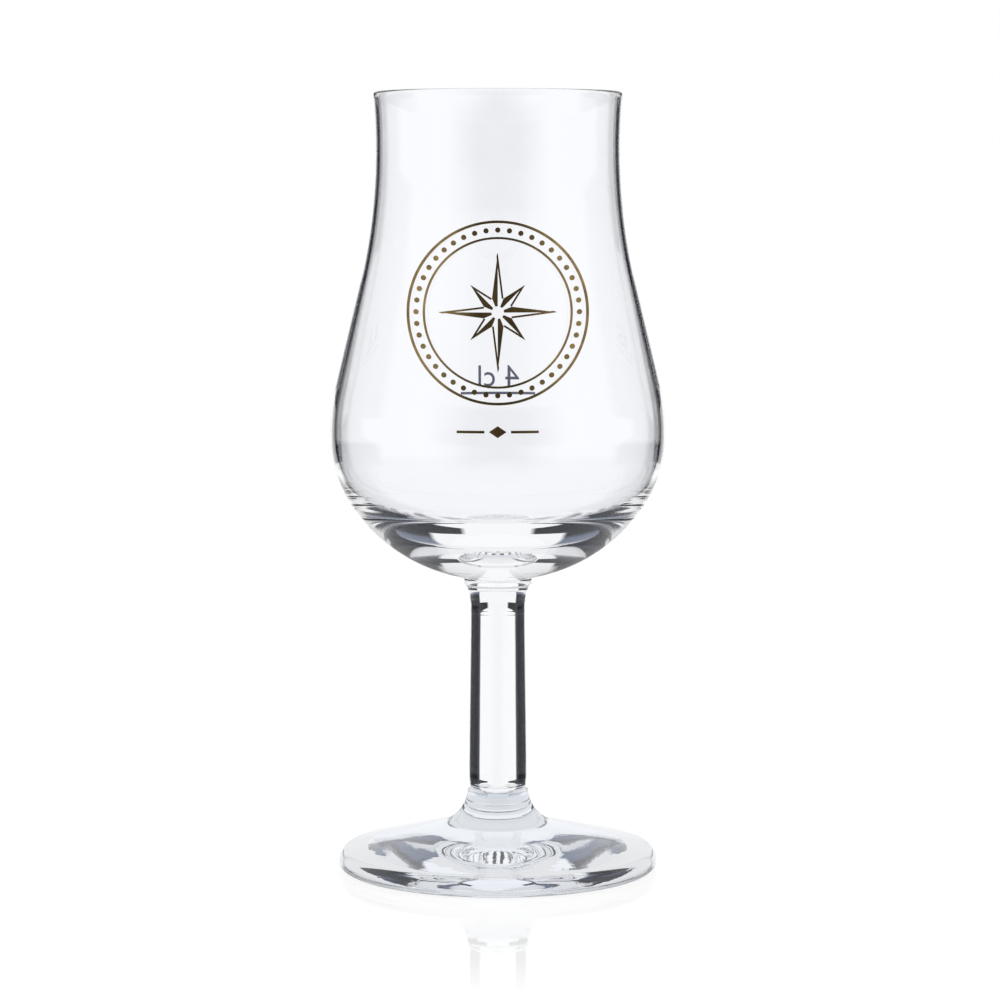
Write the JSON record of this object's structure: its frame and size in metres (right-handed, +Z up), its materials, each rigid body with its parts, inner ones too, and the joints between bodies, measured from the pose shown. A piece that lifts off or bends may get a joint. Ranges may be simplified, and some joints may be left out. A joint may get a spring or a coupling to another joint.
{
  "type": "spirit tasting glass",
  "caption": "Stemmed tulip glass for tasting spirits: a round belly draws in to a slim chimney, on a solid stem and a disc foot, with a fired emblem and a fill line on the bowl.",
  "frame": {"origin": "centre of the foot on the plane that it stands on, on the glass's axis", "axes": "+Z up along the axis; the emblem faces -Y and the fill line is at the back, at +Y"},
  "size_m": [0.056, 0.0561, 0.13],
  "materials": {
    "clear_glass": "clear, fire polished",
    "gold_print": "fired gold, bright and thin",
    "blue_print": "fired enamel, satin"
  },
  "bodies": {
    "root": {"foot": "clear_glass", "stem": "clear_glass", "bowl": "clear_glass", "emblem_outer_ring": "gold_print", "emblem_inner_ring": "gold_print", "emblem_star": "gold_print", "pendant_lozenge": "gold_print", "pendant_bar_left": "gold_print", "pendant_bar_right": "gold_print", "fill_line": "blue_print"}
  },
  "joints": []
}
